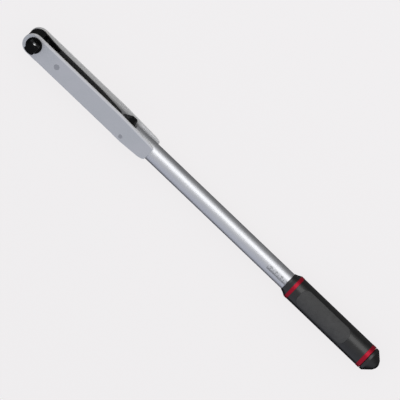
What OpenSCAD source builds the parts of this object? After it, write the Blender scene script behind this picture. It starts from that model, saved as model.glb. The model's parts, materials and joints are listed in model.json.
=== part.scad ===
// Trip-type torque wrench. +X runs along the handle, +Z along the square drive,
// +Y towards the open edge of the head channel. The origin is on the drive axis at mid height.

/* [Head channel] */
// Height of the head channel, which is also its nose diameter
head_h = 25.4; // [25.2:0.1:25.6]
// How far the centre of the round nose lies ahead of the drive axis
nose_ahead = 1.4; // [0:0.1:1.5]
// Thickness of the folded plate
plate_t = 2.3; // [2:0.1:2.6]
// Clear gap between the two plates
gap = 22.4; // [22.4:0.1:22.8]
// Where the plates end on the tube
channel_end = 179; // [176:1:190]

/* [Square drive] */
// Size across the flats of the square
square_af = 12.7; // [12.7:0.1:12.7]
// Length of the square beyond its shoulder
square_len = 13; // [12.5:0.5:15.5]
// Diameter of the ratchet wheel's bearing in the lever's eye
collar_d = 18.6; // [18.6:0.1:18.6]
// Teeth on the ratchet wheel
teeth = 24; // [24:12:36]

/* [Tube] */
// Outside diameter of the tube
tube_d = 22.2; // [22.2:0.1:22.2]
// Wall of the tube
tube_wall = 1.6; // [1.5:0.1:1.6]
// Rear end of the tube, inside the grip
tube_end = 460; // [456:1:461]

/* [Grip] */
// Front edge of the grip at the lowest setting
grip_front = 393; // [390:1:400]
// Rear end of the lock knob, measured from the drive axis
overall = 533.4; // [533:0.1:540]
// Diameter of the grip over its shell
grip_d = 30.2; // [29.6:0.1:31]
// Half angle that each soft panel covers
panel_half_angle = 46; // [40:1:55]
// Roll of the soft panels about the handle, from straight up
panel_roll = 17; // [0:1:45]

/* [Hidden] */
$fn = 64;
eps = 0.01;
run = 0.05;            // radial clearance of a running fit
slip = 0.1;            // radial clearance of a sliding fit
reach = 20;            // half length of a cutter that goes right through

// Channel
nose_r = head_h / 2;
fold_r = 1;            // outside radius of the folds
half_gap = gap / 2;
half_w = half_gap + plate_t;
web_start = 14;
web_end = 132;
stop_pin_x = 35.7;
stop_pin_r = 3.4;
cam_x = 142;
cam_y = -7.6;
cam_pin_r = 2.5;

// Tube and what is fixed in it
tube_r = tube_d / 2;
tube_bore = tube_r - tube_wall;
tube_front = 148.2;
nut_x = 432;
nut_len = 24;
nut_pin_r = 2;
nut_pin_in = 7.6;
nut_pin_out = 10.9;
screw_r = 7;

// Drive spindle
collar_r = collar_d / 2;
flange_r = collar_r + 0.6;      // the step that runs in the near plate and meets the socket
shoulder_z = half_w + 0.8;
journal_r = 8;
journal_end = -half_w - 1.7;
clip_t = 1.2;
clip_z = -half_w - 0.2 - clip_t;
clip_groove_r = 7.2;
clip_r = 9.4;
clip_gap = 6;
tip_r = collar_r - 0.1;
root_r = collar_r - 0.95;
tooth_phase = 13;
ball_r = 2.4;
ball_z = shoulder_z + square_len - 3.5;
corner_r = 8.3;        // the square's corners are rounded to this radius
tip_corner_r = 5.6;
tip_chamfer = 3.6;
ball_y = square_af / 2 - 1.05;
ball_hole_end = 0.8;
ball_spring_y = ball_hole_end + eps * 5;
ball_spring_len = ball_y - 0.8 * ball_r - ball_spring_y;

// Break lever
lever_half = 9;
wheel_half = lever_half - 0.1;
eye_r = 12.2;
pocket_half = 6.5;
pocket_start = 2;
pocket_end = 26;
pawl_half = 6.3;
pawl_x = 17;
pawl_y = -0.5;
pawl_pin_r = 1.9;
pawl_spring_x = 15.6;
trip_travel = 1.6;     // how far the stop pin's slot lets the lever move there
fork_x = 117;
roller_x = 123;
roller_y = 1;
roller_r = 4;
roller_half = 4;
roller_pin_r = 1.9;
washer_t = 2;
washer_r = 10.4;

// Trip cam and plunger
cam_half = 9.5;
hub_r = 4.6;
cam_back = 145.2;
dome_r = 7;
dome_x = cam_back + 0.15 + dome_r;
plunger_r = tube_bore - slip;
plunger_end = 172;

// Spring pack behind the plunger
wire_r = 1.6;
coil_r = 7.6;
seat_x = 330;
seat_t = 8;
race_t = 1.2;
thrust_ball_r = 1.5;
thrust_pitch_r = 6.4;
screw_front = seat_x + seat_t + 2 * race_t + 2 * thrust_ball_r + run;
rod_r = 3;

// Grip
grip_r = grip_d / 2;
core_r = 13;
core_bore = tube_r + slip;
core_front = grip_front + 5;
nose_bore = tube_r + 0.3;
wiper_r = tube_r + 1;
wiper_x = grip_front + 2.6;
ring_r = grip_r + 0.2;
cone_end = grip_front + 7.5;
ring1_end = cone_end + 4.5;
ring2_start = grip_front + 119.4;
ring2_end = ring2_start + 5.2;
core_end = ring2_end - 0.4;
panel_start = grip_front + 20;
panel_end = grip_front + 93.5;
panel_floor_r = 13.9;
hub_x = 490;
hub_len = 8;
hub_nut_af = 17;
hub_nut_len = 5.4;
rod_end = 521;
stud_r = 5;
stud_end = 504.5;
bush_x = 505.5;
spigot_r = 9.5;
spigot_x = 506;
collet_end = 515.5;
knob_x = ring2_end + 0.4;
knob_r = grip_r - 0.1;

function polar(r, a) = [r * cos(a), r * sin(a)];
function arc(c, r, a0, a1, n) = [for (i = [0:n]) c + polar(r, a0 + (a1 - a0) * i / n)];

// ---- helpers -------------------------------------------------------------------------------

// Turns something drawn along +Z so that it runs along +X from x
module along_x(x = 0) translate([x, 0, 0]) rotate([0, 90, 0]) children();

// A ring or a disc along the handle axis
module ring_x(x0, x1, r_out, r_in = 0)
    along_x(x0) difference() {
        cylinder(r = r_out, h = x1 - x0);
        if (r_in > 0) translate([0, 0, -1]) cylinder(r = r_in, h = x1 - x0 + 2);
    }

// A body turned about the handle axis, from points [x, r]
module turned_x(points)
    along_x() rotate_extrude() polygon([for (p = points) [p[1], p[0]]]);

// A flat outline made into a plate of half thickness h
module slab(h) translate([0, 0, -h]) linear_extrude(2 * h) children();

// A round bar along Z
module bar_z(x, y, r, z0, z1) translate([x, y, z0]) cylinder(r = r, h = z1 - z0);

// A cutter longer than anything it cuts, along Z
module hole_z(x, y, r) bar_z(x, y, r, -reach, reach);

// A coil spring of round wire, wound about +Z from 0 to length
module coil(r, wire, length, turns, steps, sides) {
    n = turns * steps;
    rise = length - 2 * wire;
    points = [for (i = [0:n], k = [0:sides - 1])
        let (a = 360 * i / steps, b = 360 * k / sides, q = r + wire * cos(b))
        [q * cos(a), q * sin(a), wire + rise * i / n + wire * sin(b)]];
    sides_faces = [for (i = [0:n - 1], k = [0:sides - 1])
        let (k2 = (k + 1) % sides)
        [i * sides + k, i * sides + k2, (i + 1) * sides + k2, (i + 1) * sides + k]];
    first = [for (k = [sides - 1:-1:0]) k];
    last = [for (k = [0:sides - 1]) n * sides + k];
    polyhedron(points, concat(sides_faces, [first, last]), convexity = 10);
}

// ---- frame ---------------------------------------------------------------------------------

// Side view of one plate: round nose, straight body, and a lower edge that rises at the tube
module plate_outline()
    polygon(concat(
        arc([-nose_ahead, 0], nose_r, 90, 270, 48),
        [[web_end + 14, -nose_r], [160, -11.7], [171, -10.9], [176.5, -9.5], [channel_end, -7.6],
         [channel_end, 8.4], [177, 10], [171, 10.9], [137, 12.2], [125, nose_r]]));

// Rounds the fold between the web and a plate along its outside
module fold_round(side)
    difference() {
        translate([web_start - 1, -nose_r - 1, side > 0 ? half_w - fold_r : -half_w - 1])
            cube([web_end - web_start + 2, fold_r + 1, fold_r + 1]);
        translate([web_start - 2, -nose_r + fold_r, side * (half_w - fold_r)])
            rotate([0, 90, 0]) cylinder(r = fold_r, h = web_end - web_start + 4);
    }

module side_channel()
    color("silver") difference() {
        union() {
            translate([0, 0, half_gap]) linear_extrude(plate_t) plate_outline();
            translate([0, 0, -half_w]) linear_extrude(plate_t) plate_outline();
            translate([web_start, -nose_r, -half_gap - eps])
                cube([web_end - web_start, plate_t, gap + 2 * eps]);
        }
        fold_round(1);
        fold_round(-1);
        bar_z(0, 0, flange_r + run, 0, half_w + 1);
        bar_z(0, 0, journal_r + run, -half_w - 1, 0);
        hole_z(stop_pin_x, 0, stop_pin_r);
        hole_z(cam_x, cam_y, cam_pin_r);
    }

module main_tube()
    color("lightgray") difference() {
        ring_x(tube_front, tube_end, tube_r, tube_bore);
        hole_z(nut_x + nut_len / 2, 0, nut_pin_r);
    }

module stop_pin() color("gray") bar_z(stop_pin_x, 0, stop_pin_r, -half_w, half_w);

module cam_pin() color("gray") bar_z(cam_x, cam_y, cam_pin_r, -half_w, half_w);

// One washer each side of the lever's eye; the near one lets the collar through
module thrust_washers()
    color("darkgoldenrod") for (side = [-1, 1]) {
        middle = side * (lever_half + half_gap) / 2;
        bore = side > 0 ? collar_r : journal_r;
        difference() {
            bar_z(0, 0, washer_r, middle - washer_t / 2, middle + washer_t / 2);
            hole_z(0, 0, bore + slip);
        }
    }

module cam_washers()
    color("darkgoldenrod") for (z = [-half_gap + run, cam_half + run])
        difference() {
            bar_z(cam_x, cam_y, hub_r - 0.2, z, z + half_gap - cam_half - 2 * run);
            hole_z(cam_x, cam_y, cam_pin_r);
        }

module tube_nut()
    color("gray") difference() {
        ring_x(nut_x, nut_x + nut_len, tube_bore, screw_r + run);
        hole_z(nut_x + nut_len / 2, 0, nut_pin_r);
    }

module nut_pins()
    color("dimgray") for (z = [nut_pin_in, -nut_pin_out])
        bar_z(nut_x + nut_len / 2, 0, nut_pin_r, z, z + nut_pin_out - nut_pin_in);

module main_spring()
    color("dimgray") along_x(plunger_end) coil(coil_r, wire_r, seat_x - plunger_end, 26, 16, 6);

// ---- break lever ---------------------------------------------------------------------------

// Side view of the lever: a round eye that runs smoothly into a long taper
module lever_outline()
    polygon(concat(
        arc([-nose_ahead, 0], eye_r, 84, 270, 48),
        [[4, -eye_r + 0.7], [12, -9.4], [108, -5.3], [121, -4.3], [125.4, -2.6],
         [125.6, 3.6], [123, 6], [117, 6.6], [93, 8.7], [40, 9.4], [24, 9.8], [10, 11]]));

// The eye carries the ratchet wheel, the pocket its pawl, and the fork at the tail the roller
module break_lever()
    color("#222222") difference() {
        slab(lever_half) lever_outline();
        hole_z(0, 0, collar_r);
        translate([pocket_start, -4.6, -pocket_half])
            cube([pocket_end - pocket_start, reach, 2 * pocket_half]);
        bar_z(pawl_x, pawl_y, 4.4, -pocket_half, pocket_half);
        hole_z(pawl_x, pawl_y, pawl_pin_r);
        for (y = [0, trip_travel]) hole_z(stop_pin_x, y, stop_pin_r + slip);
        translate([stop_pin_x - stop_pin_r - slip, 0, -reach])
            cube([2 * (stop_pin_r + slip), trip_travel, 2 * reach]);
        translate([fork_x, -reach, -roller_half - 0.3]) cube([reach, 2 * reach, 2 * roller_half + 0.6]);
        hole_z(roller_x, roller_y, roller_pin_r);
    }

module roller_pin()
    color("silver") bar_z(roller_x, roller_y, roller_pin_r, -lever_half, lever_half);

module pawl_pin()
    color("silver") bar_z(pawl_x, pawl_y, pawl_pin_r, -lever_half, lever_half);

module pawl_spring()
    color("silver") translate([pawl_spring_x, 5, 0]) rotate([0, 90, 0])
        coil(1.7, 0.3, pocket_end - pawl_spring_x, 8, 12, 5);

module trip_roller()
    color("silver") difference() {
        bar_z(roller_x, roller_y, roller_r, -roller_half, roller_half);
        hole_z(roller_x, roller_y, roller_pin_r + run);
    }

// ---- drive ---------------------------------------------------------------------------------

// Saw teeth: a radial face and then a ramp down to the next face. grow adds clearance
module ratchet_outline(grow = 0)
    polygon([for (i = [0:teeth - 1], k = [0, 1])
        polar((k == 0 ? root_r : tip_r) + grow, tooth_phase + 360 * i / teeth)]);

module drive_spindle()
    color("#1c1c1c") difference() {
        union() {
            bar_z(0, 0, journal_r, journal_end + 0.6, 0);
            translate([0, 0, journal_end]) cylinder(r1 = journal_r - 0.6, r2 = journal_r, h = 0.6 + eps);
            slab(wheel_half) ratchet_outline();
            bar_z(0, 0, collar_r, wheel_half - eps, half_gap + slip + eps);
            bar_z(0, 0, flange_r, half_gap + slip, shoulder_z - 0.3);
            translate([0, 0, shoulder_z - 0.3 - eps])
                cylinder(r1 = flange_r, r2 = flange_r - 0.3, h = 0.3 + eps);
            intersection() {
                translate([-square_af / 2, -square_af / 2, shoulder_z - 1])
                    cube([square_af, square_af, square_len + 1]);
                translate([0, 0, shoulder_z - 1]) rotate_extrude() polygon([
                    [0, 0], [corner_r, 0], [corner_r, square_len + 1 - tip_chamfer],
                    [tip_corner_r, square_len + 1], [0, square_len + 1]]);
            }
        }
        translate([0, ball_hole_end, ball_z]) rotate([-90, 0, 0]) cylinder(r = ball_r + 0.06, h = 10);
        difference() {
            bar_z(0, 0, journal_r + 2, clip_z - 0.05, clip_z + clip_t + 0.05);
            hole_z(0, 0, clip_groove_r);
        }
    }

// An open snap ring in the groove at the back of the head
module spindle_circlip()
    color("dimgray") difference() {
        bar_z(0, 0, clip_r, clip_z, clip_z + clip_t);
        hole_z(0, 0, clip_groove_r);
        translate([0, -clip_gap / 2, -reach]) cube([clip_r + 2, clip_gap, reach]);
    }

module detent_spring()
    color("silver") translate([0, ball_spring_y, ball_z]) rotate([-90, 0, 0])
        coil(1.45, 0.25, ball_spring_len, 4, 12, 5);

module detent_ball() color("silver") translate([0, ball_y, ball_z]) sphere(r = ball_r);

// A strut with one tooth, pushed into the wheel by its spring
module pawl_arm()
    polygon(concat(
        arc([0, 0], tip_r + 0.25, 43.6, 8, 12),
        [[14, -2.2], [19, 2], [15.4, 3.4], [15.4, 6.6], [12.6, 7.4]],
        [polar(12.9, 48), polar(12.2, 57), polar(root_r - 0.1, 57.4), polar(root_r - 0.1, 44)]));

module ratchet_pawl()
    color("#3a3a3a") difference() {
        union() {
            slab(pawl_half) pawl_arm();
            bar_z(pawl_x, pawl_y, 3.5, -pawl_half, pawl_half);
        }
        for (a = [-0.5, 0.5]) rotate(a) slab(lever_half) ratchet_outline(0.1);
        hole_z(pawl_x, pawl_y, pawl_pin_r + run);
    }

// ---- trip cam and plunger ------------------------------------------------------------------

module trip_cam()
    color("#151515") difference() {
        slab(cam_half) {
            translate([cam_x, cam_y]) circle(r = hub_r);
            polygon([[126.7, -6.4], [139.8, -11.5], [146, -5.4], [cam_back, -3], [cam_back, 6],
                     [144.3, 10.3], [142.6, 11.9], [136.6, 11.9], [129.6, 7.4], [127.45, 6]]);
        }
        hole_z(cam_x, cam_y, cam_pin_r + run);
    }

module plunger()
    color("gray") turned_x(concat(
        arc([dome_x, 0], dome_r, 180, 180 - 68, 16),
        [[154, 6.6], [155, plunger_r], [plunger_end, plunger_r], [plunger_end, 5.8], [plunger_end + 7, 5.8],
         [plunger_end + 8, 4.8], [plunger_end + 8, 0]]));

// ---- adjuster inside the tube --------------------------------------------------------------

module spring_seat()
    color("gray") difference() {
        union() {
            ring_x(seat_x, seat_x + seat_t, plunger_r);
            ring_x(seat_x - 7, seat_x + eps, 5.8);
        }
        ring_x(seat_x - 2, seat_x + seat_t + 1, rod_r);
    }

module thrust_races()
    color("silver") for (x = [seat_x + seat_t, seat_x + seat_t + race_t + 2 * thrust_ball_r])
        ring_x(x, x + race_t, 9, rod_r + 0.4);

module thrust_balls()
    color("white") for (i = [0:9])
        along_x(seat_x + seat_t + race_t + thrust_ball_r)
            rotate(36 * i) translate([thrust_pitch_r, 0, 0]) sphere(r = thrust_ball_r - eps, $fn = 24);

module lock_rod() color("silver") ring_x(seat_x - 2, rod_end, rod_r);

// ---- grip ----------------------------------------------------------------------------------

module adjusting_screw()
    color("gray") difference() {
        union() {
            ring_x(screw_front, hub_x, screw_r);
            ring_x(hub_x - eps, stud_end, stud_r);
        }
        ring_x(screw_front - 1, stud_end + 1, rod_r + 0.3);
    }

module screw_hub() color("gray") ring_x(hub_x, hub_x + hub_len, core_bore, stud_r);

module hub_nut()
    color("silver") difference() {
        along_x(hub_x + hub_len) cylinder(r = hub_nut_af / 2 / cos(30), h = hub_nut_len, $fn = 6);
        ring_x(hub_x, stud_end, stud_r);
    }

// A slit cone that the knob squeezes on to the rod
module lock_collet()
    color("darkgoldenrod") difference() {
        turned_x([[stud_end + 0.1, rod_r + run], [stud_end + 0.1, 7], [507, 7], [507, 6.6],
                  [collet_end, 5.2], [collet_end, rod_r + run]]);
        for (a = [0, 60, 120]) rotate([a, 0, 0]) translate([508, -10, -0.4]) cube([10, 20, 0.8]);
    }

module rear_bush() color("gray") ring_x(bush_x, core_end, core_bore, spigot_r + run);

module grip_core() color("lightgray") ring_x(core_front, core_end, core_r, core_bore);

// The front cone, with a groove inside it for the wiper
module grip_nose()
    color("#181818") turned_x([
        [grip_front, nose_bore], [grip_front, tube_r + 0.6], [grip_front + 3, tube_r + 1.6],
        [cone_end - 0.8, grip_r - 0.4], [cone_end, grip_r - 0.1], [cone_end, core_r],
        [core_front, core_r], [core_front, wiper_r], [wiper_x, wiper_r], [wiper_x, nose_bore]]);

module wiper_ring() color("black") ring_x(wiper_x + slip, core_front - slip, wiper_r, core_bore);

module colour_ring(x0, x1)
    turned_x([[x0, core_r], [x0, ring_r - 0.3], [x0 + 0.3, ring_r], [x1 - 0.3, ring_r], [x1, ring_r - 0.3],
              [x1, core_r]]);

module front_ring() color("crimson") colour_ring(cone_end, ring1_end);

module rear_ring() color("crimson") colour_ring(ring2_start, ring2_end);

// The space of one soft panel: a sector with rounded ends, seen from above
module panel_space(clear)
    intersection() {
        ring_x(panel_start + clear, panel_end - clear, 20, panel_floor_r);
        translate([0, 0, 5]) linear_extrude(20) {
            w = grip_r * sin(panel_half_angle) - clear;
            translate([panel_start + 8, 0]) circle(r = 8 - clear);
            translate([panel_end - 8, 0]) circle(r = 8 - clear);
            for (x = [panel_start + 8, panel_end - 8], s = [-1, 1])
                translate([x, s * (w - 8 + clear)]) circle(r = 8 - clear);
            translate([panel_start + 8, -w]) square([panel_end - panel_start - 16, 2 * w]);
            translate([panel_start + clear, -w + 8 - clear])
                square([panel_end - panel_start - 2 * clear, 2 * (w - 8 + clear)]);
        }
    }

module both_panels(clear)
    for (a = [0, 180]) rotate([a - panel_roll, 0, 0]) panel_space(clear);

module grip_shell()
    color("#141414") difference() {
        ring_x(ring1_end, ring2_start, grip_r, core_r);
        both_panels(0);
    }

module soft_panels()
    color("#4b4b4b") intersection() {
        ring_x(ring1_end, ring2_start, grip_r + 0.25, core_r);
        both_panels(0.1);
    }

// ---- lock knob -----------------------------------------------------------------------------

module lock_knob()
    color("#121212") turned_x([
        [spigot_x, spigot_r], [knob_x, spigot_r], [knob_x, knob_r - 0.4], [knob_x + 0.4, knob_r],
        [knob_x + 3.2, knob_r], [knob_x + 4, knob_r - 0.3], [knob_x + 13, 6.4],
        [overall - 1.6, 4.6], [overall - 0.5, 2.8], [overall, 0],
        [rod_end + 3, 0], [rod_end + 3, rod_r + 0.4], [collet_end + 0.7, rod_r + 0.4],
        [collet_end + 0.7, 5.5], [spigot_x, 7.3]]);

side_channel();
main_tube();
stop_pin();
cam_pin();
thrust_washers();
cam_washers();
tube_nut();
nut_pins();
main_spring();
break_lever();
roller_pin();
pawl_pin();
pawl_spring();
trip_roller();
drive_spindle();
spindle_circlip();
detent_spring();
detent_ball();
ratchet_pawl();
trip_cam();
plunger();
spring_seat();
thrust_races();
thrust_balls();
lock_rod();
adjusting_screw();
screw_hub();
hub_nut();
lock_collet();
rear_bush();
grip_core();
grip_nose();
wiper_ring();
front_ring();
grip_shell();
soft_panels();
rear_ring();
lock_knob();
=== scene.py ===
# A torque wrench on a pale floor, around the CAD frame: every part's material and rounded edges, the
# folded channel with its edges rolled over, the springs' coils, and the graduations on the tube.
# Lengths are in metres. MM turns millimetres into metres.

import json
import math

import bmesh
import bpy
from mathutils import Matrix, Vector


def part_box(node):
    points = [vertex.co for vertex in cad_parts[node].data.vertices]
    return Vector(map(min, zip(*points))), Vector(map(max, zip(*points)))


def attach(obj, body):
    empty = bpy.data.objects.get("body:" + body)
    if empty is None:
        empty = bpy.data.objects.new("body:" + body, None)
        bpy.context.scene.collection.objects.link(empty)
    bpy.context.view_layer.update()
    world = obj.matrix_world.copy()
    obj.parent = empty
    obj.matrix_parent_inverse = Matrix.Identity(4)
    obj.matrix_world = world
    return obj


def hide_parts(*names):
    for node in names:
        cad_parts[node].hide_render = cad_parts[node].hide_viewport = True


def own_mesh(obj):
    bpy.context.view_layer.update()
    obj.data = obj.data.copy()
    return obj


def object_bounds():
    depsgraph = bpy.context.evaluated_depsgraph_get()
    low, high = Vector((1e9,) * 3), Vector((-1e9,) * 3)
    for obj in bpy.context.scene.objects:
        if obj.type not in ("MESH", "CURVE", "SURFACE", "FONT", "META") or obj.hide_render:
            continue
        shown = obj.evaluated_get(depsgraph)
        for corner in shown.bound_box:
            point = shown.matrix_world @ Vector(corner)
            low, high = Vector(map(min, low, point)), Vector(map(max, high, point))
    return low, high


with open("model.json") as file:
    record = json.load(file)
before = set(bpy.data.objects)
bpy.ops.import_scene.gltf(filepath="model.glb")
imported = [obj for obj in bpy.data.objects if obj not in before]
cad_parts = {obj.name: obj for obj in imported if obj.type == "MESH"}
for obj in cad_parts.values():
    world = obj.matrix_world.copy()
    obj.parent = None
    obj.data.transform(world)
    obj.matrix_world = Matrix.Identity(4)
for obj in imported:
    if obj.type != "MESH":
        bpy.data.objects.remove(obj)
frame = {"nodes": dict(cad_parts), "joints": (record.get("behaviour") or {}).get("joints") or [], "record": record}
cad_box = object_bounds()

MM = 0.001
NODES = frame["nodes"]
JOINTS = {joint["name"]: joint for joint in frame["joints"]}
SLOTS = {part["node"]: part["material_slot"] for part in frame["record"]["subparts"]}
AXIS_X = Vector((1, 0, 0))


def outward(angle):
    """The direction away from the handle's axis. angle is from straight up towards +Y."""
    return Vector((0, math.sin(angle), math.cos(angle)))


def place(item, right, up, back, centre, distance):
    """Puts a camera or a light at a distance from a centre, looking at it."""
    turn = Matrix((right, up, back)).transposed().to_4x4()
    item.matrix_world = Matrix.Translation(centre + back * distance) @ turn
    bpy.context.scene.collection.objects.link(item)


# ---- camera ---------------------------------------------------------------------------------------

ROLL = math.radians(43.7)        # how far the handle points down from level in the picture
TILT = math.radians(24.5)        # how far the open edge of the head is turned towards the camera
AIM = Vector((257.0, -1.95, 0.9)) * MM      # the point in the middle of the picture
FRAME_WIDTH = 453.6 * MM         # what the picture takes in from side to side at that point
LENS = 900.0                     # in millimetres, as Blender counts lenses and sensors
SENSOR = 36.0
CLIP_END = 50


def make_camera():
    """A long lens above the near plate, rolled so that the wrench runs from top left to bottom right."""
    across = Vector((0, math.cos(TILT), -math.sin(TILT)))
    right = AXIS_X * math.cos(ROLL) + across * math.sin(ROLL)
    up = across * math.cos(ROLL) - AXIS_X * math.sin(ROLL)
    data = bpy.data.cameras.new("camera")
    data.lens = LENS
    data.sensor_width = SENSOR
    data.clip_end = CLIP_END
    camera = bpy.data.objects.new("camera", data)
    place(camera, right, up, outward(TILT), AIM, FRAME_WIDTH * LENS / SENSOR)
    bpy.context.scene.camera = camera


# ---- node helpers ---------------------------------------------------------------------------------

NOISE_LOW, NOISE_HIGH = 0.3, 0.7     # most of a noise texture's values lie between these
NOISE_ROUGHNESS = 0.55
EDGE_SAMPLES = 4


class Graph:
    """Builds a node tree: each call to a method adds nodes and returns an output socket."""

    def __init__(self, tree):
        self.tree = tree
        tree.nodes.clear()

    def node(self, kind, **settings):
        """Adds one node and returns the node itself."""
        made = self.tree.nodes.new(kind)
        for key, value in settings.items():
            setattr(made, key, value)
        return made

    def link(self, value, socket):
        """Joins an output to a socket, or sets the socket to a constant."""
        if isinstance(value, bpy.types.NodeSocket):
            self.tree.links.new(value, socket)
        else:
            socket.default_value = value

    def coords(self, scale=(1, 1, 1)):
        """Object coordinates in millimetres, stretched by scale."""
        stretch = self.node("ShaderNodeMapping", vector_type="POINT")
        self.link(self.node("ShaderNodeTexCoord").outputs["Object"], stretch.inputs["Vector"])
        stretch.inputs["Scale"].default_value = [s / MM for s in scale]
        return stretch.outputs["Vector"]

    def split(self, vector):
        """A vector's parts, as the sockets "X", "Y" and "Z"."""
        made = self.node("ShaderNodeSeparateXYZ")
        self.link(vector, made.inputs["Vector"])
        return made.outputs

    def noise(self, vector, scale, detail=3.0):
        made = self.node("ShaderNodeTexNoise")
        self.link(vector, made.inputs["Vector"])
        made.inputs["Scale"].default_value = scale
        made.inputs["Detail"].default_value = detail
        made.inputs["Roughness"].default_value = NOISE_ROUGHNESS
        return made.outputs["Fac"]

    def voronoi(self, vector, scale):
        made = self.node("ShaderNodeTexVoronoi")
        self.link(vector, made.inputs["Vector"])
        made.inputs["Scale"].default_value = scale
        return made.outputs["Distance"]

    def span(self, value, low, high, out_low=0.0, out_high=1.0):
        """Maps low..high to out_low..out_high, held at the ends."""
        made = self.node("ShaderNodeMapRange")
        for name, number in (("Value", value), ("From Min", low), ("From Max", high),
                             ("To Min", out_low), ("To Max", out_high)):
            self.link(number, made.inputs[name])
        return made.outputs["Result"]

    def vary(self, noise, out_low=0.0, out_high=1.0):
        """Maps the usual values of a noise to out_low..out_high."""
        return self.span(noise, NOISE_LOW, NOISE_HIGH, out_low, out_high)

    def math(self, kind, a, b=0.0):
        made = self.node("ShaderNodeMath", operation=kind)
        self.link(a, made.inputs[0])
        self.link(b, made.inputs[1])
        return made.outputs["Value"]

    def mix(self, share, a, b):
        """Colour a, with a share of colour b."""
        made = self.node("ShaderNodeMix", data_type="RGBA")
        self.link(share, made.inputs["Factor"])
        self.link(a, made.inputs["A"])
        self.link(b, made.inputs["B"])
        return made.outputs["Result"]

    def bump(self, height, depth):
        """The surface's normal over a relief. depth is in metres, for a height of 1."""
        made = self.node("ShaderNodeBump")
        self.link(height, made.inputs["Height"])
        made.inputs["Distance"].default_value = depth
        return made.outputs["Normal"]

    def edges(self, radius, low=0.02, high=0.25):
        """1 on outside and inside edges within radius, 0 on flats."""
        wide = self.node("ShaderNodeBevel", samples=EDGE_SAMPLES)
        wide.inputs["Radius"].default_value = radius
        plain = self.node("ShaderNodeNewGeometry").outputs["Normal"]
        dot = self.node("ShaderNodeVectorMath", operation="DOT_PRODUCT")
        self.link(wide.outputs["Normal"], dot.inputs[0])
        self.link(plain, dot.inputs[1])
        return self.span(dot.outputs["Value"], 1.0 - low, 1.0 - high)

    def surface(self, **sockets):
        """The shader itself. A number or colour that is constant goes straight on its socket."""
        shader = self.node("ShaderNodeBsdfPrincipled")
        for name, value in sockets.items():
            self.link(value, shader.inputs[name.replace("_", " ")])
        out = self.node("ShaderNodeOutputMaterial")
        self.link(shader.outputs["BSDF"], out.inputs["Surface"])


def rgb(r, g, b):
    return (r, g, b, 1.0)


def material(name):
    """A new material and the graph that fills it."""
    made = bpy.data.materials.new(name)
    made.use_nodes = True
    return made, Graph(made.node_tree)


# ---- materials ------------------------------------------------------------------------------------

HALF_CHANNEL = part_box("side_channel")[1].z
OPEN_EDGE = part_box("side_channel")[1].y
PLATE = 2.3 * MM                 # thickness of the folded plate
TAPER_START = 125 * MM           # where the plate's open edge starts to fall towards the tube
TAPER = 0.04                     # how steeply it falls
HIGHLIGHT_BAND_FROM = 2.8 * MM           # how far below the open edge the painted highlight on the plates starts
HIGHLIGHT_BAND_FULL = 2.2 * MM           # how far below it the painted highlight is full
PAINTED_SHADE_FROM = 9.5 * MM              # the height at which the painted shade on the inner faces ends
PAINTED_SHADE_FULL = 6.0 * MM              # the height below which the painted shade is darkest
# how far the painted shade darkens the inner faces, at its darkest
PAINTED_SHADE_SHARE = 0.85
INNER_FROM = 0.3 * MM            # how far outside the inner faces a point stops counting as on them
INNER_FULL = 0.1 * MM            # how far outside them it still counts in full
MARK_DEPTH = 0.004 * MM          # relief of the marks on turned and ground metal
METAL_VARIES = 0.12              # how much rougher than its smoothest spots such metal gets
ALONG = (0.05, 1.0, 1.0)         # stretches a texture along the handle
EVEN = (1.0, 1.0, 1.0)


def satin_plate():
    """Nickel-plated sheet. Its outer faces are linished lengthwise and its rolled edges are worn lighter,
    with a painted highlight along the open edge. The cut edges and the inner faces are as plated, pale
    and dull, and painted shade darkens the inner faces deep in the gap."""
    made, g = material("satin_plate")
    streak = g.noise(g.coords((0.02, 1.0, 1.0)), 5.0, 4.0)
    cloud = g.noise(g.coords(), 0.05, 2.0)
    where = g.node("ShaderNodeTexCoord")
    facing = g.split(where.outputs["Normal"])        # 1 where the surface looks along that axis
    spot = g.split(where.outputs["Object"])
    flat = g.math("ABSOLUTE", facing["Z"])
    open_side = g.span(facing["Y"], -0.25, -0.05)
    inner_face = HALF_CHANNEL - PLATE
    within = g.span(g.math("ABSOLUTE", spot["Z"]), inner_face + INNER_FROM, inner_face + INNER_FULL)
    inside = g.math("MULTIPLY", g.span(flat, 0.5, 0.8), within)
    cut_edge = g.math("MULTIPLY", open_side, g.span(flat, 0.55, 0.3))
    rolled = g.math("MULTIPLY", open_side, g.span(flat, 0.985, 0.93))
    # A painted highlight: a pale band just below the open edge, which follows the edge as it falls towards the
    # tube.
    past_start = g.math("MAXIMUM", g.math("SUBTRACT", spot["X"], TAPER_START), 0.0)
    height = g.math("ADD", spot["Y"], g.math("MULTIPLY", past_start, TAPER))
    painted_highlight_band = g.span(height, OPEN_EDGE - HIGHLIGHT_BAND_FROM, OPEN_EDGE - HIGHLIGHT_BAND_FULL)
    worn_edge_and_highlight = g.math("MAXIMUM", rolled, painted_highlight_band)
    as_plated = g.math("MAXIMUM", cut_edge, inside)
    # Painted shade: the inner faces get darker towards the bottom of the gap.
    painted_shade = g.math("MULTIPLY", inside, g.span(spot["Y"], PAINTED_SHADE_FROM, PAINTED_SHADE_FULL))
    base = g.mix(g.span(cloud, 0.35, 0.65), rgb(0.72, 0.74, 0.775), rgb(0.75, 0.76, 0.80))
    base = g.mix(g.vary(streak, 0.0, 0.16), base, rgb(0.60, 0.61, 0.64))
    # Lighter rolled edges (wear) and the painted highlight band along the open edge.
    base = g.mix(g.math("MAXIMUM", as_plated, worn_edge_and_highlight), base, rgb(0.97, 0.97, 0.98))
    # Paints the shade deep in the gap onto the inner faces.
    base = g.mix(g.math("MULTIPLY", painted_shade, PAINTED_SHADE_SHARE), base, rgb(0.28, 0.28, 0.29))
    g.surface(Base_Color=base, Metallic=g.span(as_plated, 0.0, 1.0, 0.75, 0.15),
              Roughness=g.span(streak, 0.25, 0.75, 0.42, 0.50), Normal=g.bump(streak, 0.006 * MM))
    return made


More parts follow.
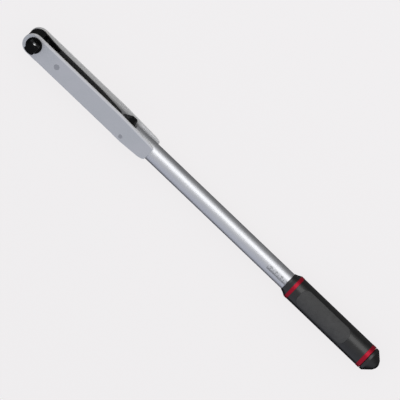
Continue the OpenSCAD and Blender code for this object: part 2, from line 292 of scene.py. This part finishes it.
def tube_chrome():
    """Bright chrome plate over a drawn tube, with hair-fine polishing lines."""
    made, g = material("tube_chrome")
    line = g.noise(g.coords((0.012, 1.0, 1.0)), 7.0)
    smear = g.noise(g.coords((0.3, 1.0, 1.0)), 0.12)
    rough = g.math("ADD", g.vary(line, 0.0, 0.04), g.vary(smear, 0.38, 0.44))
    base = g.mix(g.vary(smear), rgb(0.80, 0.81, 0.85), rgb(0.84, 0.85, 0.88))
    g.surface(Base_Color=base, Metallic=1.0, Roughness=rough, Normal=g.bump(line, 0.002 * MM))
    return made


def bare_metal(name, low, high, rough, grain=EVEN):
    """Turned or ground metal: mottled between two colours, and rubbed lighter along its edges."""
    made, g = material(name)
    mark = g.noise(g.coords(grain), 4.0, 4.0)
    wear = g.edges(0.25 * MM)
    base = g.mix(g.vary(mark), rgb(*low), rgb(*high))
    base = g.mix(g.math("MULTIPLY", wear, 0.5), base, rgb(0.80, 0.80, 0.81))
    g.surface(Base_Color=base, Metallic=1.0, Roughness=g.vary(mark, rough, rough + METAL_VARIES),
              Normal=g.bump(mark, MARK_DEPTH))
    return made


def black_oxide():
    """Forged steel under an oiled black oxide, rubbed through to metal along its edges."""
    made, g = material("black_oxide")
    grit = g.noise(g.coords(), 3.0, 5.0)
    patch = g.noise(g.coords(), 0.35)
    wear = g.math("MULTIPLY", g.edges(0.3 * MM, 0.04, 0.35), g.span(patch, 0.4, 0.6))
    base = g.mix(g.vary(grit), rgb(0.003, 0.003, 0.0035), rgb(0.008, 0.008, 0.009))
    base = g.mix(g.math("MULTIPLY", wear, 0.6), base, rgb(0.32, 0.32, 0.33))
    g.surface(Base_Color=base, Metallic=g.span(wear, 0.0, 1.0, 0.2, 0.9),
              Roughness=g.vary(patch, 0.34, 0.48), Specular_IOR_Level=0.1,
              Normal=g.bump(grit, 0.012 * MM))
    return made


def bronze():
    """Turned bronze, warm and mottled."""
    made, g = material("bronze")
    mark = g.noise(g.coords(), 1.6, 4.0)
    base = g.mix(g.vary(mark), rgb(0.50, 0.33, 0.15), rgb(0.60, 0.42, 0.21))
    g.surface(Base_Color=base, Metallic=1.0, Roughness=g.vary(mark, 0.28, 0.42),
              Normal=g.bump(mark, MARK_DEPTH))
    return made


def grip_black():
    """Moulded black with a polished skin, very slightly wavy, and fine handling scratches."""
    made, g = material("grip_black")
    wave = g.noise(g.coords(), 0.22, 2.0)
    scratch = g.noise(g.coords((0.15, 2.2, 2.2)), 3.0, 2.0)
    base = g.mix(g.vary(wave), rgb(0.005, 0.005, 0.0055), rgb(0.009, 0.009, 0.0095))
    rough = g.math("ADD", g.span(scratch, 0.55, 0.75, 0.0, 0.08), g.vary(wave, 0.26, 0.32))
    g.surface(Base_Color=base, Roughness=rough, IOR=1.5, Specular_IOR_Level=0.8,
              Normal=g.bump(wave, 0.03 * MM))
    return made


def soft_grip():
    """Soft rubber overmould: matt dark grey with a spark-eroded grain, darker in the grain's hollows."""
    made, g = material("soft_grip")
    grain = g.voronoi(g.coords(), 2.4)
    dust = g.noise(g.coords(), 0.18, 4.0)
    base = g.mix(g.vary(dust), rgb(0.072, 0.072, 0.073), rgb(0.092, 0.092, 0.093))
    base = g.mix(g.span(grain, 0.0, 0.6, 0.25, 0.0), base, rgb(0.02, 0.02, 0.021))
    g.surface(Base_Color=base, Roughness=g.vary(dust, 0.66, 0.78), IOR=1.45,
              Specular_IOR_Level=0.3, Normal=g.bump(grain, 0.05 * MM))
    return made


def ring_red():
    """Glossy crimson moulding with a metallic flake and a hint of flow variation."""
    made, g = material("ring_red")
    flow = g.noise(g.coords((1.0, 0.5, 0.5)), 0.5)
    base = g.mix(g.vary(flow), rgb(0.42, 0.006, 0.026), rgb(0.50, 0.010, 0.036))
    g.surface(Base_Color=base, Metallic=0.6, Roughness=g.vary(flow, 0.30, 0.38),
              Specular_IOR_Level=0.35, Normal=g.bump(flow, 0.02 * MM))
    return made


def seal_rubber():
    """Plain dull black rubber."""
    made, g = material("seal_rubber")
    grain = g.noise(g.coords(), 2.0)
    base = g.mix(grain, rgb(0.012, 0.012, 0.012), rgb(0.022, 0.022, 0.022))
    g.surface(Base_Color=base, Roughness=0.6, Normal=g.bump(grain, 0.01 * MM))
    return made


def scale_ink():
    """Dark fill in the tube's graduations, a little uneven."""
    made, g = material("scale_ink")
    worn = g.noise(g.coords(), 1.5, 4.0)
    base = g.mix(g.span(worn, 0.4, 0.75), rgb(0.035, 0.038, 0.034), rgb(0.10, 0.105, 0.095))
    g.surface(Base_Color=base, Roughness=g.vary(worn, 0.45, 0.6))
    return made


def make_materials():
    """The material for each slot in the record."""
    return {
        "satin_plate": satin_plate(),
        "tube_chrome": tube_chrome(),
        "pin_steel": bare_metal("pin_steel", (0.50, 0.51, 0.54), (0.58, 0.59, 0.62), 0.30),
        "black_oxide": black_oxide(),
        "bright_steel": bare_metal("bright_steel", (0.62, 0.62, 0.63), (0.70, 0.70, 0.71), 0.34),
        "spring_steel": bare_metal("spring_steel", (0.20, 0.20, 0.22), (0.32, 0.31, 0.31), 0.32),
        "bronze": bronze(),
        "plain_steel": bare_metal("plain_steel", (0.40, 0.40, 0.42), (0.50, 0.50, 0.52), 0.30, ALONG),
        "core_aluminium": bare_metal("core_aluminium", (0.68, 0.69, 0.71), (0.76, 0.77, 0.79), 0.30,
                                     ALONG),
        "grip_black": grip_black(),
        "soft_grip": soft_grip(),
        "ring_red": ring_red(),
        "seal_rubber": seal_rubber(),
    }


# ---- CAD nodes ------------------------------------------------------------------------------------

# How far each node's edges are rounded, in millimetres. A node that isn't named gets EDGE_OTHER.
EDGE = {
    "side_channel": 0.35,
    "drive_spindle": 0.30,
    "main_tube": 0.25,
    "break_lever": 0.40,
    "trip_cam": 0.40,
    "grip_shell": 0.30,
    "soft_panels": 0.45,
    "lock_knob": 0.25,
    "grip_nose": 0.20,
    "stop_pin": 0.25,
    "cam_pin": 0.25,
    "hub_nut": 0.30,
}
EDGE_OTHER = 0.12
ALREADY_ROUND = {"main_spring", "pawl_spring", "detent_spring", "detent_ball", "thrust_balls"}
MERGE = 0.001 * MM               # corners nearer than this are one corner
FLAT = math.radians(1)           # triangles that meet at less than this are one face
ROUND_FROM = math.radians(32)    # edges that turn by more than this are rounded
ROUND_SEGMENTS = 3
NORMAL_WEIGHT = 80


def shade_smooth(mesh):
    mesh.polygons.foreach_set("use_smooth", [True] * len(mesh.polygons))


def round_edges(piece, width, segments, limit):
    """Rounds a piece's edges. limit says which: by their angle, or by the weight that each carries."""
    bevel = piece.modifiers.new("round", "BEVEL")
    bevel.width = width
    bevel.segments = segments
    bevel.limit_method = limit
    bevel.angle_limit = ROUND_FROM
    bevel.miter_outer = "MITER_ARC"


def weigh_normals(piece):
    """Lets the large faces rule the shading, so that the rounded edges beside them don't."""
    normals = piece.modifiers.new("normals", "WEIGHTED_NORMAL")
    normals.weight = NORMAL_WEIGHT


def finish_node(name, obj, materials):
    """Gives a CAD node its material, and rounds its edges without changing its mesh."""
    slot = SLOTS[name]
    obj.data.materials.clear()
    obj.data.materials.append(materials[slot])
    shade_smooth(obj.data)
    weld = obj.modifiers.new("weld", "WELD")
    weld.merge_threshold = MERGE
    if name not in ALREADY_ROUND:
        clean = obj.modifiers.new("clean", "DECIMATE")
        clean.decimate_type = "DISSOLVE"
        clean.angle_limit = FLAT
        round_edges(obj, EDGE.get(name, EDGE_OTHER) * MM, ROUND_SEGMENTS, "ANGLE")
    weigh_normals(obj)


# ---- detail pieces --------------------------------------------------------------------------------

ROLLED_EDGE = 1.1 * MM           # the edge of the blanked plate, rolled over by the press
ROLL_SEGMENTS = 4
HOLE_EDGE = 0.12 * MM            # the edge of a drilled hole
HOLE_MARGIN = 0.4 * MM           # how far outside a hole's radius its edge is still looked for
EYE_WALL = 2 * MM                # the spindle's holes end at least this far inside the lever's outline
SHARP = math.radians(30)         # only edges that turn by more than this are rolled


def joined_mesh(node):
    """A bmesh of a CAD node, with the corners that its triangles share joined."""
    bm = bmesh.new()
    bm.from_mesh(NODES[node].data)
    bmesh.ops.remove_doubles(bm, verts=bm.verts, dist=MERGE)
    return bm


def new_piece(name, bm, material_made, body):
    """Turns a bmesh into a piece that rides on a body."""
    bmesh.ops.recalc_face_normals(bm, faces=bm.faces)
    mesh = bpy.data.meshes.new(name)
    bm.to_mesh(mesh)
    bm.free()
    mesh.materials.append(material_made)
    piece = bpy.data.objects.new(name, mesh)
    bpy.context.scene.collection.objects.link(piece)
    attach(piece, body)
    return piece


def pin_holes(*pins):
    """Centre and radius of the hole that each pin sits in, seen along Z."""
    spots = []
    for pin in pins:
        low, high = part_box(pin)
        centre = (low + high) / 2
        spots.append((centre.xy, (high.x - low.x) / 2))
    return spots


def make_channel(materials):
    """The folded plate with its edges rolled over, and its drilled holes left crisp."""
    bm = joined_mesh("side_channel")
    bmesh.ops.dissolve_limit(bm, angle_limit=FLAT, verts=bm.verts, edges=bm.edges)
    weight = bm.edges.layers.float.new("bevel_weight_edge")
    holes = pin_holes("stop_pin", "cam_pin")
    holes.append((Vector((0, 0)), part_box("break_lever")[1].y - EYE_WALL))
    for edge in bm.edges:
        if len(edge.link_faces) != 2 or not edge.is_convex or edge.calc_face_angle() < SHARP:
            continue
        ends = [v.co.xy for v in edge.verts]
        in_hole = any(all((e - c).length < r + HOLE_MARGIN for e in ends) for c, r in holes)
        edge[weight] = HOLE_EDGE / ROLLED_EDGE if in_hole else 1.0
    channel = new_piece("rolled_channel", bm, materials["satin_plate"], "frame")
    shade_smooth(channel.data)
    round_edges(channel, ROLLED_EDGE, ROLL_SEGMENTS, "WEIGHT")
    weigh_normals(channel)
    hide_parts("side_channel")


def make_coil(name, node, body, materials):
    """A round-wired spring, smoothed, that rides on its body."""
    bm = joined_mesh(node)
    slot = SLOTS[node]
    coil = new_piece(name, bm, materials[slot], body)
    shade_smooth(coil.data)
    smooth = coil.modifiers.new("smooth", "SUBSURF")
    smooth.levels = smooth.render_levels = 1
    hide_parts(node)
    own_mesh(coil)


def make_coils(materials):
    """The three springs: the load spring, the pawl's and the ball's."""
    make_coil("load_coil", "main_spring", "frame",
              materials)
    make_coil("pawl_coil", "pawl_spring", "break_lever",
              materials)
    make_coil("ball_coil", "detent_spring", "drive",
              materials)


# ---- graduations on the tube ----------------------------------------------------------------------

SCALE_FIRST, SCALE_LAST = 50, 225            # the settings at the ends of the scale
LINE_STEP, LONG_STEP, FIGURE_STEP = 5, 25, 50
SCALE_FOOT = math.radians(-5)    # where round the tube the lines start
SCALE_GAP = 0.6 * MM             # from the grip's front edge to the first line
INK_BELOW = 0.05 * MM            # how deep the marks reach into the tube
INK_ABOVE = 0.02 * MM            # how far they stand proud of it
LINE_WIDTH = 0.26 * MM
SHORT_LINE = 1.9 * MM
LONG_LINE = 3.4 * MM
BASE_LINE = 0.3 * MM             # width of the line along the feet of the others
FIGURE_FOOT = 3.8 * MM           # from the lines' feet to the figures' feet
FIGURE_HEIGHT = 1.7 * MM
FIGURE_WIDTH = 0.85 * MM
FIGURE_GAP = 0.3 * MM
STROKE = 0.2 * MM
CURVE_STEP = math.radians(3)     # no flat of a mark spans more of the tube than this
BARS = {"0": "abcdef", "1": "bc", "2": "abged", "5": "afgcd"}    # the strokes of each figure


def on_tube(x, angle, radius):
    """A point round the handle axis. angle is from straight up towards +Y."""
    return Vector((x, radius * math.sin(angle), radius * math.cos(angle)))


def add_patch(bm, x0, x1, a0, a1, r0, r1):
    """A thin closed solid that follows the tube between two angles."""
    steps = math.ceil((a1 - a0) / CURVE_STEP)
    rings = []
    for i in range(steps + 1):
        a = a0 + (a1 - a0) * i / steps
        corners = ((x0, r0), (x1, r0), (x1, r1), (x0, r1))
        rings.append([bm.verts.new(on_tube(x, a, r)) for x, r in corners])
    for one, two in zip(rings, rings[1:]):
        for k in range(4):
            bm.faces.new((one[k], one[(k + 1) % 4], two[(k + 1) % 4], two[k]))
    bm.faces.new(rings[0][::-1])
    bm.faces.new(rings[-1])


def add_digit(bm, digit, x, a, r0, r1, turn):
    """A plain seven-stroke numeral that reads along the tube, its foot at angle a."""
    half = FIGURE_HEIGHT / 2
    right = FIGURE_WIDTH - STROKE
    places = {
        "a": (0, FIGURE_WIDTH, FIGURE_HEIGHT - STROKE, FIGURE_HEIGHT),
        "b": (right, FIGURE_WIDTH, half, FIGURE_HEIGHT),
        "c": (right, FIGURE_WIDTH, 0, half),
        "d": (0, FIGURE_WIDTH, 0, STROKE),
        "e": (0, STROKE, 0, half),
        "f": (0, STROKE, half, FIGURE_HEIGHT),
        "g": (0, FIGURE_WIDTH, half - STROKE / 2, half + STROKE / 2),
    }
    for bar in BARS[digit]:
        u0, u1, v0, v1 = places[bar]
        add_patch(bm, x + u0, x + u1, a + v0 * turn, a + v1 * turn, r0, r1)


def make_scale(tube_r, grip_front, ink):
    """Graduations on the tube that the front edge of the grip reads against, with plain numerals."""
    bm = bmesh.new()
    r0, r1 = tube_r - INK_BELOW, tube_r + INK_ABOVE
    turn = 1.0 / tube_r          # angle for a length round the tube
    travel = JOINTS["seat_slide"]["range_m"][1]
    start = grip_front - SCALE_GAP
    for value in range(SCALE_FIRST, SCALE_LAST + 1, LINE_STEP):
        x = start - travel * (value - SCALE_FIRST) / (SCALE_LAST - SCALE_FIRST)
        length = LONG_LINE if value % LONG_STEP == 0 else SHORT_LINE
        add_patch(bm, x - LINE_WIDTH / 2, x + LINE_WIDTH / 2, SCALE_FOOT, SCALE_FOOT + length * turn,
                  r0, r1)
        if value % FIGURE_STEP == 0:
            text = str(value)
            total = len(text) * FIGURE_WIDTH + (len(text) - 1) * FIGURE_GAP
            for i, digit in enumerate(text):
                add_digit(bm, digit, x - total / 2 + i * (FIGURE_WIDTH + FIGURE_GAP),
                          SCALE_FOOT + FIGURE_FOOT * turn, r0, r1, turn)
    add_patch(bm, start - travel, start, SCALE_FOOT - BASE_LINE * turn, SCALE_FOOT, r0, r1)
    new_piece("scale_marks", bm, ink, "frame")


# ---- studio ---------------------------------------------------------------------------------------

# A direction's Z is 1 straight up and its Y is 1 straight out of the head's open edge.
DOME = 0.48                      # brightness of the tent above the horizon
BELOW_BACK = 0.15                # below the horizon, where a direction's Y is above BACK_Y
BELOW_FRONT = 0.02               # below the horizon, where it is under FRONT_Y
FRONT_Y, BACK_Y = -0.35, 0.5
HORIZON_LOW, HORIZON_HIGH = -0.15, 0.10      # the band of Z in which the brightness changes
COOL = rgb(0.93, 0.96, 1.08)     # the tent's light where a direction's Y is under COOL_Y
WHITE = rgb(1.0, 1.0, 1.0)       # and where it is above WHITE_Y
COOL_Y, WHITE_Y = -0.7, 0.3
KEY_ANGLE = math.radians(50)     # of the light, from straight up towards +Y
KEY_DISTANCE = 1.1
KEY_LENGTH = 1.8
KEY_WIDTH = 0.85
KEY_POWER = 5.1
FLOOR_COLOUR = rgb(0.863, 0.847, 0.855)      # of the floor's own light, and of the view past it
FLOOR_PAINT = rgb(0.86, 0.85, 0.855)
FLOOR_HALF = 12.0                # half the floor's side
FLOOR_GLOW = 1.05
FLOOR_LIFT = 0.9                 # how much of the floor's brightness is its own


def make_world():
    """A soft tent: bright above, darker below, and plain pale where the camera sees past the floor."""
    world = bpy.data.worlds.new("tent")
    bpy.context.scene.world = world
    world.use_nodes = True
    g = Graph(world.node_tree)
    toward = g.split(g.node("ShaderNodeTexCoord").outputs["Generated"])
    y, z = toward["Y"], toward["Z"]
    below = g.span(y, FRONT_Y, BACK_Y, BELOW_FRONT, BELOW_BACK)
    level = g.math("MULTIPLY", g.span(z, HORIZON_LOW, HORIZON_HIGH), DOME)
    level = g.math("ADD", level, g.math("MULTIPLY", g.span(z, HORIZON_HIGH, HORIZON_LOW), below))
    tint = g.mix(g.span(y, COOL_Y, WHITE_Y), COOL, WHITE)
    light = g.node("ShaderNodeBackground")
    g.link(tint, light.inputs["Color"])
    g.link(level, light.inputs["Strength"])
    plain = g.node("ShaderNodeBackground")
    plain.inputs["Color"].default_value = FLOOR_COLOUR
    choose = g.node("ShaderNodeMixShader")
    g.link(g.node("ShaderNodeLightPath").outputs["Is Camera Ray"], choose.inputs["Fac"])
    g.link(light.outputs["Background"], choose.inputs[1])
    g.link(plain.outputs["Background"], choose.inputs[2])
    g.link(choose.outputs["Shader"], g.node("ShaderNodeOutputWorld").inputs["Surface"])


def make_key_light():
    """A long soft box beside the wrench, parallel to its handle."""
    data = bpy.data.lights.new("key", "AREA")
    data.shape = "RECTANGLE"
    data.size = KEY_LENGTH
    data.size_y = KEY_WIDTH
    data.energy = KEY_POWER
    light = bpy.data.objects.new("key", data)
    back = outward(KEY_ANGLE)
    centre = (cad_box[0] + cad_box[1]) / 2
    place(light, AXIS_X, back.cross(AXIS_X), back, centre, KEY_DISTANCE)


def make_floor():
    """A plain pale floor that lifts its own shadows, as a light tent does."""
    bm = bmesh.new()
    bmesh.ops.create_grid(bm, x_segments=1, y_segments=1, size=FLOOR_HALF)
    mesh = bpy.data.meshes.new("floor")
    bm.to_mesh(mesh)
    bm.free()
    floor = bpy.data.objects.new("floor", mesh)
    floor.location.z = cad_box[0].z
    bpy.context.scene.collection.objects.link(floor)
    floor.visible_glossy = False
    floor.visible_diffuse = False
    made, g = material("floor")
    lit = g.node("ShaderNodeBsdfDiffuse")
    lit.inputs["Color"].default_value = FLOOR_PAINT
    glow = g.node("ShaderNodeEmission")
    glow.inputs["Color"].default_value = FLOOR_COLOUR
    glow.inputs["Strength"].default_value = FLOOR_GLOW
    both = g.node("ShaderNodeMixShader")
    both.inputs["Fac"].default_value = FLOOR_LIFT
    g.link(lit.outputs["BSDF"], both.inputs[1])
    g.link(glow.outputs["Emission"], both.inputs[2])
    g.link(both.outputs["Shader"], g.node("ShaderNodeOutputMaterial").inputs["Surface"])
    mesh.materials.append(made)


# ---- the scene ------------------------------------------------------------------------------------

bpy.context.scene.view_settings.view_transform = "Standard"
make_camera()
all_materials = make_materials()
for node_name, node_object in NODES.items():
    finish_node(node_name, node_object, all_materials)

make_channel(all_materials)
make_coils(all_materials)
make_scale(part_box("main_tube")[1].z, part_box("grip_nose")[0].x, scale_ink())

make_world()
make_key_light()
make_floor()
